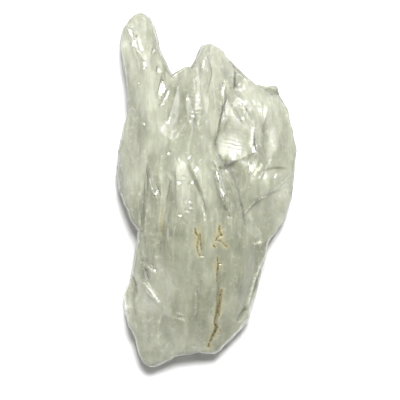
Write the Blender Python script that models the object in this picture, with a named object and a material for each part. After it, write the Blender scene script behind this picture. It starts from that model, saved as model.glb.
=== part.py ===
"""A raw piece of prasiolite, the pale green quartz, lying on its broad back.

Sub-parts
    prasiolite    the whole stone: columns of quartz that grew together as one piece

Axes: +Y runs along the columns towards the long finger, +X to the right, +Z up. The origin is
under the middle of the stone, on the surface that it lies on.

The stone is two sheets, an upper side and an underside, that meet along its widest line. Each
sheet is cut into triangles in plan, along every line where the stone bends sharply, and then
lifted to its height. All of that is drawn in millimetres, and the finished mesh is scaled to
the driving dimensions.
"""

import math
import random

import bmesh
import bpy
import numpy as np
from mathutils import Vector, noise
from mathutils.geometry import delaunay_2d_cdt
from mathutils.kdtree import KDTree

MM = 0.001

# Driving dimensions, in metres
LENGTH = 60.0 * MM  # along Y, from the finger's tip to the broken lower end
WIDTH = 30.7 * MM  # along X
THICKNESS = 14.6 * MM  # along Z, from the flats it rests on to its highest crest

# Everything below is in millimetres: x and y in plan, height above the table.
# The mesh
UPPER_STEP = 1.1  # usual distance between corners on the upper side
UNDER_STEP = 2.1  # the same on the underside
RING_STEP = 1.0  # the same along the outline
LINE_STEP = 1.5  # the same along a drawn line before it is moved sideways
MARGIN = 0.16  # a drawn line stops this far inside the outline
MERGE = 0.05  # drawn points nearer than this become one
GRID_LOOSE = 0.3  # share of the step by which a point of the loose grid wanders
GRID_CLEAR = 0.6  # share of the step that such a point keeps from the drawn lines
INSET_KEPT = 0.93  # a line inside the outline is left out where it comes nearer than this share
HOLLOW_SIDES = 22  # corners round the edge of a hollow
SEED = 7

# The edge of the stone
CHIP = 0.1  # how far the outline's points wander
UPPER_EDGE = [(0.0, 0.0), (0.18, 0.78), (0.46, 1.0)]  # (distance inside, share of the height)
LOWER_EDGE = [(0.0, 0.0), (0.4, 0.5), (1.3, 1.0)]
EDGE_UNEVEN = 0.9  # share by which the rounded edge's width wanders
EDGE_LEAST = 0.45  # and the least share of it that is left
EDGE_WAVES = (0.4, 0.25)  # waves of that to a millimetre, along X and along Y
WAIST = [(-30.0, 4.8), (-22.0, 4.8), (-10.0, 4.4), (10.0, 4.4), (30.0, 4.6)]  # (y, height)
WAIST_WANDER = 1.3  # how far the widest line dips and climbs round the stone
WAIST_WAVES = 0.13  # waves of that to a millimetre
LEAST_WALL = 0.6  # the sheets stay this far from the widest line's height

# Ledges and lines
LIP = 0.35  # width in plan of a ledge's steep face
FADE = 0.22  # share of a line's length over which it starts and ends

# The crown is broken into flat facets, long in Y as the columns are
FACET_X = 2.7  # usual width of a facet
FACET_Y = 6.5  # usual length of a facet
FACET_LOOSE = 0.4  # share of these by which a corner wanders in plan
FACET_SHAKE = 0.3  # how far a corner stands off the smooth crown

# Plan of the stone at its widest, clockwise from the finger's tip
OUTLINE = [
    (-12.4, 29.7), (-11.4, 30.1), (-10.4, 29.9), (-9.5, 29.2), (-8.7, 27.5), (-7.7, 23.6),
    (-5.8, 19.6), (-3.8, 20.9), (-2.8, 20.8), (-0.9, 24.4), (0.6, 24.9), (2.3, 24.0),
    (5.0, 20.9), (8.4, 17.9), (12.0, 17.5), (12.5, 15.8), (13.9, 13.8), (15.3, 6.7),
    (14.7, -0.4), (13.3, -5.0), (10.4, -9.0), (10.1, -11.4), (8.2, -18.0), (7.6, -19.4),
    (7.4, -21.4), (6.2, -23.1), (2.3, -27.1), (1.3, -27.7), (-1.6, -27.4), (-3.5, -27.7),
    (-5.2, -28.1), (-8.9, -29.9), (-9.7, -29.8), (-10.7, -29.0), (-11.4, -27.8),
    (-12.4, -24.4), (-13.3, -22.7), (-14.1, -18.8), (-14.1, -17.2), (-13.4, -15.8),
    (-12.4, -11.9), (-11.7, -6.7), (-12.8, -5.2), (-15.0, -0.1), (-15.4, 2.3), (-14.9, 7.4),
    (-13.5, 12.6), (-13.4, 15.1), (-13.9, 19.9), (-14.8, 24.6), (-14.2, 27.5), (-13.4, 28.8),
]

# Spots that the upper side passes through before its columns are cut: (x, y, height)
CROWN = [
    (-11.0, 29.5, 6.8), (-11.5, 25.5, 8.2), (-9.5, 20.0, 9.2), (-11.0, 13.5, 9.2),
    (-15.0, 3.5, 6.6), (-11.0, 3.5, 10.4), (-8.0, 10.0, 10.6), (-4.0, 20.0, 7.2),
    (-0.5, 24.5, 6.8), (1.0, 19.5, 9.2), (-2.0, 13.5, 10.4), (-0.5, 5.0, 12.4),
    (-4.5, -2.0, 13.2), (-9.5, -7.0, 11.0), (6.5, 19.5, 7.2), (11.5, 17.0, 6.4),
    (9.5, 11.5, 9.4), (14.0, 6.5, 7.4), (11.5, 2.5, 9.6), (6.5, -1.0, 12.2),
    (13.5, -4.5, 7.6), (9.5, -8.5, 9.4), (1.5, -8.5, 13.6), (-4.5, -13.5, 12.6),
    (-11.0, -13.5, 9.2), (8.5, -14.5, 8.6), (4.0, -18.5, 10.8), (-3.5, -22.0, 10.6),
    (-13.5, -18.0, 7.2), (-9.5, -26.5, 7.8), (-1.0, -26.5, 7.6), (6.5, -21.5, 7.8),
    (-9.0, -29.0, 6.6), (1.5, -27.0, 6.8),
]

# Columns and ribs that stand up: (crest line, half width, height)
RIDGES = [
    # the long finger's roof, then the bulge on its left
    ([(-11.5, 29.5), (-11.5, 24.5), (-10.0, 19.5), (-9.5, 13.5), (-9.5, 8.5)], 3.4, 1.2),
    ([(-13.5, 13.5), (-14.0, 8.5), (-13.5, 2.5), (-12.0, -5.0)], 2.4, 0.5),
    # the column between finger and peak, then the peak
    ([(-2.5, 20.5), (-2.0, 15.0), (-2.5, 10.0), (-3.5, 5.0)], 2.4, 0.8),
    ([(0.5, 25.0), (1.0, 22.0), (1.0, 18.5), (1.5, 13.5), (0.5, 8.5)], 2.2, 1.0),
    # the sharp wall between the hollows, the right column and the right edge
    ([(4.5, 16.5), (7.0, 13.0), (8.0, 10.0), (8.0, 7.5), (8.5, 5.5), (8.0, 2.5)], 1.5, 1.2),
    ([(9.5, 16.5), (10.5, 11.5), (11.5, 6.5), (11.5, 4.0)], 2.4, 0.9),
    ([(12.5, 16.0), (14.0, 11.0), (14.5, 6.5)], 0.8, 0.4),
    # the crest down the middle, then the body's flutes from right to left
    ([(1.5, 5.0), (2.5, 1.5), (3.5, -2.0), (4.0, -4.5), (4.0, -8.5)], 1.2, 0.9),
    ([(-1.0, 3.5), (-0.5, -2.0), (0.0, -6.0), (0.5, -12.0)], 1.4, 0.5),
    ([(-5.0, 5.0), (-5.0, -2.0), (-5.5, -8.5), (-6.0, -17.0)], 1.5, 0.6),
    ([(-8.0, 4.0), (-7.5, -2.0), (-8.5, -8.5), (-9.0, -15.5)], 1.4, 0.6),
    ([(-10.0, -2.0), (-10.0, -8.5), (-10.5, -14.5)], 1.2, 0.5),
    # the lower body
    ([(-3.0, -8.5), (-3.0, -17.0), (-4.0, -24.5)], 2.0, 0.4),
    ([(5.5, -4.5), (6.0, -11.0), (5.0, -18.0), (3.5, -23.0)], 2.4, 0.6),
    ([(-8.0, -18.5), (-8.0, -23.5), (-9.0, -28.0)], 2.0, 0.4),
    ([(-10.0, -16.0), (-9.0, -17.5), (-7.5, -19.0)], 0.7, 0.4),
]

# Grooves and cracks between columns: (line, half width, depth)
GROOVES = [
    ([(-10.0, 5.0), (-10.5, 0.0), (-11.0, -6.5)], 0.6, 0.5),
    ([(-7.0, 4.0), (-6.5, -2.0), (-7.5, -7.5), (-8.0, -12.5)], 0.7, 0.45),
    ([(-3.5, 5.0), (-1.0, -1.0), (-0.5, -4.0)], 0.5, 0.4),
    ([(2.0, -10.5), (2.0, -18.5), (1.5, -23.5), (0.5, -26.5)], 0.5, 0.4),
    ([(6.5, -19.5), (5.0, -22.0)], 0.7, 0.8),
]

# Steps where one plate of the growth ends on another: (edge, drop, reach). The lower side is
# on the left of a walker along the edge, or on the right if the drop is negative.
LEDGES = [
    # right of the middle crest, and the left wall of the hollows
    ([(2.0, 7.5), (2.5, 5.5), (4.0, 3.5), (5.0, 0.0), (6.0, -3.5), (6.0, -6.0)], 1.4, 2.4),
    ([(2.5, 18.0), (3.0, 15.0), (2.0, 11.5), (1.5, 8.5), (2.0, 6.5)], 1.0, 1.7),
    # the peak's right face, and the thin plate at the upper right
    ([(4.0, 22.0), (4.5, 20.0), (4.5, 16.5)], 0.8, 1.7),
    ([(7.5, 18.5), (10.5, 16.5), (12.5, 15.5)], 1.5, 2.0),
    # under the right column, and the upper rim of the dish below it
    ([(8.5, 1.0), (9.5, 3.5), (11.5, 4.0), (14.0, 4.0)], -0.6, 1.7),
    ([(5.5, -4.5), (7.5, -2.5), (10.0, -0.5), (13.0, 0.5)], -0.5, 2.0),
    # the margins of the lower body: left, right and lower right
    ([(-12.5, -19.5), (-11.5, -17.0), (-12.5, -12.5)], 1.0, 1.4),
    ([(9.5, -11.0), (8.0, -15.0), (7.0, -18.5)], 1.2, 1.4),
    ([(7.0, -20.5), (5.5, -23.0), (2.5, -26.0), (1.0, -27.0)], 1.2, 1.7),
    # the left and right faces of the finger
    ([(-11.0, 19.5), (-11.5, 22.0), (-13.0, 25.5), (-13.5, 28.5)], 0.5, 1.4),
    ([(-9.5, 28.5), (-8.5, 24.5), (-7.5, 21.0), (-7.0, 17.0)], 0.6, 1.4),
]

# Shell-shaped hollows where flakes broke away: (centre, half length, half width, turn of the
# long way from +Y in degrees, depth, lean). With a lean of 1 the lower end is the deepest.
SCOOPS = [
    ((4.0, 8.5), 4.0, 2.5, -8, 1.5, 0.9),
    ((6.0, 13.5), 4.2, 1.7, 30, 1.2, 0.4),
    ((5.0, 2.5), 2.4, 1.5, 15, 0.8, 0.8),
    ((10.0, -4.5), 3.7, 4.1, 0, 1.0, 0.0),
    ((11.0, 10.5), 5.1, 1.5, -8, 0.6, 0.3),
    ((-2.0, 14.5), 4.2, 1.4, 0, 0.5, 0.0),
    ((-9.5, -19.5), 2.7, 2.4, 0, 0.5, 0.0),
]

# Corners of the underside's flat faces: (x, y, height). The middle ones rest on the table.
UNDERSIDE = [
    (-7.5, -12.5, 0.0), (5.5, -11.0, 0.0), (8.0, 2.0, 0.0), (4.0, 11.0, 0.0),
    (-5.5, 10.0, 0.0), (-9.0, -1.5, 0.0), (0.0, -17.0, 0.0), (-3.5, -3.0, 0.0),
    (-11.0, 14.0, 1.1), (-8.5, 19.0, 1.6), (-13.0, 20.0, 2.2), (-11.5, 26.0, 2.6),
    (-12.5, 31.0, 3.4), (-8.0, 30.0, 3.4), (-17.0, 25.0, 3.4), (-4.5, 17.0, 1.7),
    (-5.5, 23.0, 2.8), (0.5, 18.5, 1.2), (0.0, 26.0, 2.9), (4.5, 23.0, 2.8),
    (7.0, 15.0, 1.3), (8.0, 20.0, 2.6), (13.0, 18.0, 3.0), (12.0, 10.5, 1.5),
    (17.0, 7.0, 3.2), (12.5, 1.5, 1.2), (16.5, -1.5, 3.2), (10.5, -6.0, 1.3),
    (13.0, -9.0, 2.8), (8.0, -14.0, 1.7), (11.0, -15.5, 3.2), (6.5, -20.0, 2.3),
    (4.5, -24.5, 3.6), (-0.5, -22.5, 1.9), (1.5, -29.0, 4.6), (-6.0, -21.0, 1.5),
    (-8.0, -26.0, 3.4), (-9.5, -31.0, 4.9), (-4.0, -28.5, 4.5), (-11.5, -17.0, 1.5),
    (-15.5, -19.0, 3.2), (-13.5, -25.5, 3.9), (-14.0, -11.0, 2.9), (-11.5, -8.0, 1.2),
    (-14.0, -5.5, 2.7), (-13.0, 3.0, 1.1), (-17.0, 2.5, 3.3), (-13.5, 9.0, 1.4),
    (-16.0, 13.0, 3.0),
]
# Steps and one hollow cut up into the underside, given as those of the upper side are
UNDER_LEDGES = [
    ([(-7.5, 12.5), (-7.0, 6.0), (-7.5, 0.5), (-6.0, -5.0)], -0.8, 3.2),
    ([(-1.0, 14.5), (0.5, 9.0), (0.0, 4.5), (1.0, 1.5)], 0.7, 3.0),
    ([(3.0, -4.0), (4.0, -9.5), (2.5, -14.5), (3.0, -18.5)], 0.9, 3.4),
    ([(-3.5, -9.0), (-4.5, -13.5), (-4.0, -18.0), (-5.0, -23.0)], -0.6, 2.6),
]
UNDER_SCOOPS = [((-10.5, -12.0), 4.2, 2.3, 8, 1.1, 0.3)]


def smooth_through(spots, x, y):
    """Height at x, y of the thin bent plate that passes through every (x, y, height) spot."""
    spots = np.array(spots)

    def bend(dx, dy):
        square = dx**2 + dy**2
        return square * np.log(square + 1e-9)

    count = len(spots)
    flat = np.column_stack([np.ones(count), spots[:, :2]])
    pull = bend(spots[:, None, 0] - spots[None, :, 0], spots[:, None, 1] - spots[None, :, 1])
    system = np.block([[pull, flat], [flat.T, np.zeros((3, 3))]])
    weights = np.linalg.solve(system, np.append(spots[:, 2], [0.0, 0.0, 0.0]))
    height = weights[count] + weights[count + 1] * x + weights[count + 2] * y
    for (spot_x, spot_y, _), weight in zip(spots, weights):
        height += weight * bend(x - spot_x, y - spot_y)
    return height


def facet_corners():
    """The corners of the crown's flat facets: the drawn spots, and a loose grid among them."""
    chance = random.Random(SEED)
    grid = []
    for row in range(-6, 7):
        for column in range(-7, 8):
            x = column + 0.5 * (row % 2) + chance.uniform(-FACET_LOOSE, FACET_LOOSE)
            y = row + chance.uniform(-FACET_LOOSE, FACET_LOOSE)
            shake = chance.uniform(-FACET_SHAKE, FACET_SHAKE)
            grid.append((FACET_X * x, FACET_Y * y, shake))
    grid = np.array(grid)
    grid[:, 2] += smooth_through(CROWN, grid[:, 0], grid[:, 1])
    return np.concatenate([CROWN, grid])


def facets_between(corners):
    """Triangles between the (x, y, height) corners, the long way along Y."""
    plan = [Vector((x, y * FACET_X / FACET_Y)) for x, y, _ in corners]
    _, _, triangles, origins, _, _ = delaunay_2d_cdt(plan, [], [], 0, 1e-6)
    return [[origins[corner][0] for corner in triangle] for triangle in triangles]


def level_on(corners, x, y):
    """Height at x, y of the facets between the corners."""
    height = np.zeros(x.shape)
    for triangle in facets_between(corners):
        a, b, c = corners[triangle]
        across = np.linalg.inv(np.column_stack([b[:2] - a[:2], c[:2] - a[:2]]))
        u, v = across @ np.stack([x - a[0], y - a[1]])
        inside = (u > -1e-6) & (v > -1e-6) & (u + v < 1 + 1e-6)
        height = np.where(inside, a[2] + u * (b[2] - a[2]) + v * (c[2] - a[2]), height)
    return height


def beside(path, x, y):
    """Each point's distance from the path, 1 on its left or -1 on its right, and share walked."""
    corners = np.array(path)
    walked = np.append(0.0, np.cumsum(np.hypot(*np.diff(corners, axis=0).T)))
    distance = np.full(x.shape, np.inf)
    side = np.zeros(x.shape)
    along = np.zeros(x.shape)
    for start, end, before, after in zip(corners, corners[1:], walked, walked[1:]):
        step = end - start
        share = ((x - start[0]) * step[0] + (y - start[1]) * step[1]) / (step @ step)
        share = np.clip(share, 0.0, 1.0)
        away = np.hypot(x - start[0] - share * step[0], y - start[1] - share * step[1])
        nearer = away < distance
        distance = np.where(nearer, away, distance)
        left = np.sign(step[0] * (y - start[1]) - step[1] * (x - start[0]))
        side = np.where(nearer, left, side)
        along = np.where(nearer, (before + share * (after - before)) / walked[-1], along)
    return distance, side, along


def fading(along):
    """1 along the middle of a path, easing to 0 at its two ends."""
    return np.clip(np.minimum(along, 1.0 - along) / FADE, 0.0, 1.0)


def ridge(path, half_width, height, x, y):
    """A roof-shaped rib along the path."""
    distance, _, along = beside(path, x, y)
    return height * np.clip(1.0 - distance / half_width, 0.0, 1.0) * fading(along)


def ledge(path, drop, reach, x, y):
    """A step down beside the path that climbs back over its reach."""
    distance, side, along = beside(path, x, y)
    lower = np.clip(distance * side * np.sign(drop) / LIP, 0.0, 1.0)
    return -abs(drop) * lower * np.clip(1.0 - distance / reach, 0.0, 1.0) * fading(along)


def scoop(centre, half_length, half_width, turn, depth, lean, x, y):
    """A hollow with a sharp rim."""
    angle = math.radians(turn)
    dx, dy = x - centre[0], y - centre[1]
    across = (dx * math.cos(angle) + dy * math.sin(angle)) / half_width
    lengthways = (dy * math.cos(angle) - dx * math.sin(angle)) / half_length
    hollow = np.clip(1.0 - across**2 - lengthways**2, 0.0, 1.0)
    return -depth * hollow * (1.0 - lean * np.clip(lengthways, -1.0, 1.0))


def upper_height(x, y):
    height = level_on(facet_corners(), x, y)
    height += sum(ridge(*shape, x, y) for shape in RIDGES)
    height -= sum(ridge(*shape, x, y) for shape in GROOVES)
    height += sum(ledge(*shape, x, y) for shape in LEDGES)
    return height + sum(scoop(*shape, x, y) for shape in SCOOPS)


def under_height(x, y):
    height = level_on(np.array(UNDERSIDE), x, y)
    height -= sum(ledge(*shape, x, y) for shape in UNDER_LEDGES)
    return height - sum(scoop(*shape, x, y) for shape in UNDER_SCOOPS)


def waist_height(x, y):
    """Height of the stone's widest line, which the two sheets share."""
    wander = [
        noise.noise((WAIST_WAVES * px, WAIST_WAVES * py, SEED)) for px, py in zip(x, y)
    ]
    return np.interp(y, *zip(*WAIST)) + WAIST_WANDER * np.array(wander)


def finely(path, step):
    """The same path with a point every step or less."""
    corners = np.array(path)
    pieces = [corners[:1]]
    for start, end in zip(corners, corners[1:]):
        count = math.ceil(np.hypot(*(end - start)) / step)
        shares = np.arange(1, count + 1)[:, None] / count
        pieces.append(start + (end - start) * shares)
    return np.concatenate(pieces)


def moved_left(path, offset):
    """The path moved sideways, to the left of a walker along it."""
    heading = np.gradient(path, axis=0)
    heading /= np.hypot(*heading.T)[:, None]
    return path + offset * np.column_stack([-heading[:, 1], heading[:, 0]])


def edges_of(corners):
    """The edges of the facets between the corners, as paths."""
    for triangle in facets_between(corners):
        for start, end in zip(triangle, triangle[1:] + triangle[:1]):
            if start < end:
                yield corners[[start, end], :2]


def band_lines(path, half_width):
    """The middle and both feet of a ridge or a groove."""
    for offset in (-half_width, 0.0, half_width):
        yield moved_left(finely(path, LINE_STEP), offset)


def step_lines(path, drop):
    """The top and the foot of a ledge's steep face."""
    yield np.array(path)
    yield moved_left(finely(path, LINE_STEP), LIP * np.sign(drop))


def rim_line(centre, half_length, half_width, turn):
    """The edge of a hollow."""
    around = np.linspace(0.0, 2 * math.pi, HOLLOW_SIDES)
    across, lengthways = half_width * np.cos(around), half_length * np.sin(around)
    angle = math.radians(turn)
    x = centre[0] + across * math.cos(angle) - lengthways * math.sin(angle)
    y = centre[1] + across * math.sin(angle) + lengthways * math.cos(angle)
    return np.column_stack([x, y])


def bend_lines(corners, bands, ledges, scoops):
    """Every line in plan where one side of the stone bends sharply."""
    yield from edges_of(corners)
    for path, half_width, _ in bands:
        yield from band_lines(path, half_width)
    for path, drop, _ in ledges:
        yield from step_lines(path, drop)
    for *shape, _, _ in scoops:
        yield rim_line(*shape)


def inside_ring(ring, x, y):
    """Whether each point is inside the ring."""
    found = np.zeros(x.shape, bool)
    for (ax, ay), (bx, by) in zip(ring, np.roll(ring, -1, axis=0)):
        level = (ay > y) != (by > y)
        found ^= level & (x < ax + (bx - ax) * (y - ay) / (by - ay + 1e-12))
    return found


def from_edge(ring, x, y):
    """Each point's distance from the ring."""
    return beside(np.concatenate([ring, ring[:1]]), x, y)[0]


def well_inside(ring, points):
    """Whether each point is inside the ring and clear of it."""
    return inside_ring(ring, *points.T) & (from_edge(ring, *points.T) > MARGIN)


def outline_ring():
    """The outline with small chips, clockwise."""
    ring = finely(OUTLINE + OUTLINE[:1], RING_STEP)[:-1]
    chance = random.Random(SEED)
    chips = [(chance.uniform(-CHIP, CHIP), chance.uniform(-CHIP, CHIP)) for _ in ring]
    return ring + np.array(chips)


def edge_line(ring, inset):
    """The ring moved inward, without the points that end up too near it in a corner."""
    loop = moved_left(np.concatenate([ring[-1:], ring, ring[:2]]), -inset)[1:-1]
    return loop[from_edge(ring, *loop.T) > INSET_KEPT * inset]


def loose_grid(ring, points, step):
    """Points about a step apart that fill the ring and keep clear of the given ones."""
    taken = KDTree(len(points))
    for index, point in enumerate(points):
        taken.insert((*point, 0.0), index)
    taken.balance()
    chance = random.Random(SEED)
    reach = np.abs(ring).max()
    grid = []
    for row in np.arange(-reach, reach, step):
        for column in np.arange(-reach, reach, step):
            x = column + step * chance.uniform(-GRID_LOOSE, GRID_LOOSE)
            y = row + step * chance.uniform(-GRID_LOOSE, GRID_LOOSE)
            if taken.find((x, y, 0.0))[2] > GRID_CLEAR * step:
                grid.append((x, y))
    grid = np.array(grid)
    return grid[inside_ring(ring, *grid.T)]


def sheet_in_plan(ring, lines, step):
    """One side cut into triangles along the lines: points, triangles, places on the ring."""
    places = np.arange(len(ring))
    points = [ring]
    joins = [np.column_stack([places, np.roll(places, -1)])]
    count = len(ring)
    for line in lines:
        line = finely(line, step)
        kept = well_inside(ring, line)
        middle_kept = well_inside(ring, (line[:-1] + line[1:]) / 2)
        starts = np.flatnonzero(kept[:-1] & middle_kept & kept[1:])
        points.append(line)
        joins.append(count + np.column_stack([starts, starts + 1]))
        count += len(line)
    joins = np.concatenate(joins)
    used = np.unique(joins)
    points = np.concatenate(points)[used]
    grid = loose_grid(ring, points, step)
    plan = [Vector(point) for point in np.concatenate([points, grid])]
    joins = np.searchsorted(used, joins).tolist()
    made, _, triangles, origins, _, _ = delaunay_2d_cdt(plan, joins, [], 1, MERGE)
    on_ring = [min(found, default=count) for found in origins]
    return np.array(made), np.array(triangles), np.array(on_ring)


def raised(ring, plan, edge, height_of, upward):
    """Heights of the plan's points on the upper side (upward 1) or the underside (upward -1)."""
    x, y = plan.T
    waist = waist_height(x, y)
    uneven = [
        noise.noise((EDGE_WAVES[0] * px, EDGE_WAVES[1] * py, SEED * upward))
        for px, py in plan
    ]
    width = np.maximum(1.0 + EDGE_UNEVEN * np.array(uneven), EDGE_LEAST)
    share = np.interp(from_edge(ring, x, y) * width, *zip(*edge))
    thick = np.maximum(upward * (height_of(x, y) - waist), LEAST_WALL)
    return np.maximum(waist + upward * share * thick, 0.0)


def stone_mesh():
    """The whole stone as one closed mesh, in millimetres."""
    ring = outline_ring()
    upper_lines = bend_lines(facet_corners(), RIDGES + GROOVES, LEDGES, SCOOPS)
    under_lines = bend_lines(np.array(UNDERSIDE), [], UNDER_LEDGES, UNDER_SCOOPS)
    points = [np.column_stack([ring, waist_height(*ring.T)])]
    faces = []
    count = len(ring)
    for lines, step, edge, height_of, upward in (
        (upper_lines, UPPER_STEP, UPPER_EDGE, upper_height, 1),
        (under_lines, UNDER_STEP, LOWER_EDGE, under_height, -1),
    ):
        edge_lines = [edge_line(ring, inset) for inset, _ in edge[1:]]
        plan, triangles, on_ring = sheet_in_plan(ring, [*edge_lines, *lines], step)
        height = raised(ring, plan, edge, height_of, upward)
        number = np.where(on_ring < len(ring), on_ring, count + np.arange(len(plan)))
        points.append(np.column_stack([plan, height]))
        faces += number[triangles[:, ::upward]].tolist()
        count += len(plan)
    mesh = bpy.data.meshes.new("prasiolite")
    mesh.from_pydata(np.concatenate(points).tolist(), [], faces)
    return mesh


def drop_loose_points(mesh):
    """Removes the sheets' own copies of the ring, which no face uses."""
    bm = bmesh.new()
    bm.from_mesh(mesh)
    loose = [vert for vert in bm.verts if not vert.link_faces]
    bmesh.ops.delete(bm, geom=loose)
    bm.to_mesh(mesh)
    bm.free()


def fit_to_size(mesh):
    """Scales the mesh to the driving dimensions and stands it over the origin."""
    points = np.empty(len(mesh.vertices) * 3)
    mesh.vertices.foreach_get("co", points)
    points = points.reshape(-1, 3)
    low, high = points.min(axis=0), points.max(axis=0)
    middle = np.array([*((low + high) / 2)[:2], low[2]])
    points = (points - middle) * np.array([WIDTH, LENGTH, THICKNESS]) / (high - low)
    mesh.vertices.foreach_set("co", points.ravel())
    mesh.update()


def green_quartz():
    material = bpy.data.materials.new("green quartz")
    material.use_nodes = True
    shader = material.node_tree.nodes["Principled BSDF"]
    shader.inputs["Base Color"].default_value = (0.50, 0.53, 0.41, 1.0)
    shader.inputs["Metallic"].default_value = 0.0
    shader.inputs["Roughness"].default_value = 0.2
    shader.inputs["IOR"].default_value = 1.544
    shader.inputs["Transmission Weight"].default_value = 0.35
    return material


def prasiolite():
    mesh = stone_mesh()
    drop_loose_points(mesh)
    fit_to_size(mesh)
    mesh.materials.append(green_quartz())
    return bpy.data.objects.new("prasiolite", mesh)


def main():
    for obj in list(bpy.data.objects):
        bpy.data.objects.remove(obj)
    collection = bpy.data.collections.new("raw prasiolite")
    bpy.context.scene.collection.children.link(collection)
    collection.objects.link(prasiolite())


main()
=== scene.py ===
# %% [markdown]
# # A raw piece of prasiolite
#
# Prasiolite is pale green quartz. This piece is several quartz columns that grew side by side
# as one crystal and then broke out of their rock. It is milky inside, glossy where a face is
# fresh, rough where small flakes came away, and it has rust in a few of its cracks.
#
# The measured stone is loaded first as a fixed frame. Every later size is worked out from it.

# %% Load the measured stone
import math
import random

import bmesh
import bpy
import numpy as np
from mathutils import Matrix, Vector, noise


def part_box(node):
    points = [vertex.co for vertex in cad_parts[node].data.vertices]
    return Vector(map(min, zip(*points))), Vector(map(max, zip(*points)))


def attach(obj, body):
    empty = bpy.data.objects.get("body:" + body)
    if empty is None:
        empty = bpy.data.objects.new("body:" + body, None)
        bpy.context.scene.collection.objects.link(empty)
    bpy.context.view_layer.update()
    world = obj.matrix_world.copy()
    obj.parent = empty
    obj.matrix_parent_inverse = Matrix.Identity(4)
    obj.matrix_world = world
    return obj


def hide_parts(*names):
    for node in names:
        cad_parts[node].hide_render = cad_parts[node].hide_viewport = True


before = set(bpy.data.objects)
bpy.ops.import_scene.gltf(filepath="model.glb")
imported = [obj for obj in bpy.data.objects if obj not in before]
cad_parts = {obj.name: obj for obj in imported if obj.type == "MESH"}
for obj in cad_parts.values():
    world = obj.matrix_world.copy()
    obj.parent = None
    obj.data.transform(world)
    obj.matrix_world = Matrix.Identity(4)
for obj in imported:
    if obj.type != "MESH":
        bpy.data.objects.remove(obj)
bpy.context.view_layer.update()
low, high = (Vector(corner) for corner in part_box("prasiolite"))
size = high - low
MM = 0.001
print(f"the stone measures {size.x / MM:.1f} x {size.y / MM:.1f} x {size.z / MM:.1f} mm")

# %% [markdown]
# ## Where things are on the stone
#
# A raw stone isn't the same all over: it is flaked, rippled, pale or stained, and some patches
# carry painted light and painted shade.
# Painting that by hand would tie it to one mesh, and an image would blur up close. So each part
# is written down as a soft oval patch in plan: its middle (x, y), its half width and its half
# length, in millimetres from the middle of the stone's box. A formula then says how far into a
# patch any point of the stone lies.

# %% Patches that are rough or rippled
FLAKED = [
    ((-3.4, -0.4), 1.6, 4.6),
    ((-4.6, -6.5), 1.6, 2.6),
    ((-9.6, 23.6), 1.2, 2.4),
    ((-10.6, -14.0), 1.6, 2.4),
    ((-3.0, -27.0), 2.6, 1.2),
    ((13.6, -0.2), 1.5, 1.6),
    ((5.2, 18.5), 2.4, 2.4),
]
# Faces that stepped as they grew: fine ripples across the column.
RIPPLED = [
    ((-1.9, 14.3), 1.5, 4.2),
    ((11.2, 10.1), 2.2, 6.4),
    ((4.6, 11.6), 2.4, 3.6),
    ((4.2, 7.4), 2.4, 2.0),
    ((-8.4, 15.6), 1.6, 2.0),
]
print(len(FLAKED), "flaked patches and", len(RIPPLED), "rippled ones")

# %% Patches that are paler or darker: pale stone, painted highlight, light and shade
# Parts full of fine cracks that look pale, and faces that catch the light, as a painted highlight.
PALE_AND_LIT = [
    ((3.7, 6.8), 2.4, 1.9),
    ((5.0, 8.4), 2.0, 2.4),
    ((4.8, 12.1), 1.4, 3.0),
    ((2.4, 0.3), 0.9, 3.4),
    ((4.0, 2.6), 1.3, 2.2),
    ((11.0, 8.5), 1.5, 3.8),
    ((-9.3, -18.0), 2.2, 4.0),
    ((-2.0, 14.8), 1.1, 3.4),
    ((-0.1, 20.9), 1.2, 2.0),
    ((7.7, 3.6), 1.0, 1.6),
    ((2.8, 16.1), 0.6, 2.2),
    ((7.9, 7.0), 0.8, 1.6),
    ((-3.5, -1.6), 1.5, 4.4),
]
# Thin parts, where more light comes through: painted light, a paler colour.
THIN_LIT = [
    ((-9.0, -19.0), 8.0, 12.0),
    ((-6.5, -27.0), 11.0, 8.0),
    ((12.5, -0.5), 5.0, 7.0),
    ((7.0, 12.0), 7.5, 9.0),
    ((-10.6, 16.0), 6.0, 12.0),
    ((-14.0, 4.0), 5.0, 10.0),
    ((0.8, 19.0), 5.5, 7.0),
]
# Thick parts, where less light comes back: painted shade, a deeper colour.
THICK_SHADED = [
    ((-1.0, -9.5), 9.0, 7.0),
    ((-2.5, -19.5), 4.0, 6.0),
    ((5.0, -15.0), 5.0, 6.0),
    ((-4.5, 13.5), 4.0, 6.0),
    ((-11.4, 28.3), 4.0, 4.0),
]
print(len(PALE_AND_LIT), "pale,", len(THIN_LIT), "thin and", len(THICK_SHADED), "thick patches")

# %% Patches that are stained, and patches with less painted shade
# Stains are the weak tan shade round the worst cracks.
STAINED = [
    ((-1.4, -8.2), 1.2, 3.0),
    ((2.1, -7.7), 1.4, 2.2),
    ((1.8, -12.8), 1.0, 2.0),
    ((2.1, -19.2), 1.0, 2.7),
    ((1.3, -23.4), 1.0, 2.4),
    ((-7.4, -5.5), 0.5, 3.4),
]
# Patches where less painted shade goes on edges and crevices, so that these stay bright.
LESS_SHADED = [
    ((-10.0, -27.5), 10.0, 6.0),
    ((2.5, -27.5), 9.0, 6.0),
    ((9.0, -15.0), 4.0, 8.0),
    ((6.0, -21.5), 5.0, 6.0),
    ((-13.5, -18.0), 4.0, 7.0),
    ((9.3, 0.5), 3.6, 5.0),
    ((5.3, 2.0), 2.4, 5.0),
    ((-10.3, -3.5), 1.6, 6.0),
]
print(len(STAINED), "stained and", len(LESS_SHADED), "fresh patches")

# %% How far into a patch a point lies
PATCH_GAIN = 1.4  # so that a patch is even in its middle


def in_patches(points, patches):
    """1 in the middle of a patch, falling to 0 at its rim."""
    most = np.zeros(len(points))
    for middle, half_width, half_length in patches:
        away = np.linalg.norm((points[:, :2] - middle) / (half_width, half_length), axis=1)
        most = np.maximum(most, 1.0 - away)
    return np.minimum(PATCH_GAIN * most, 1.0)


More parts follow.
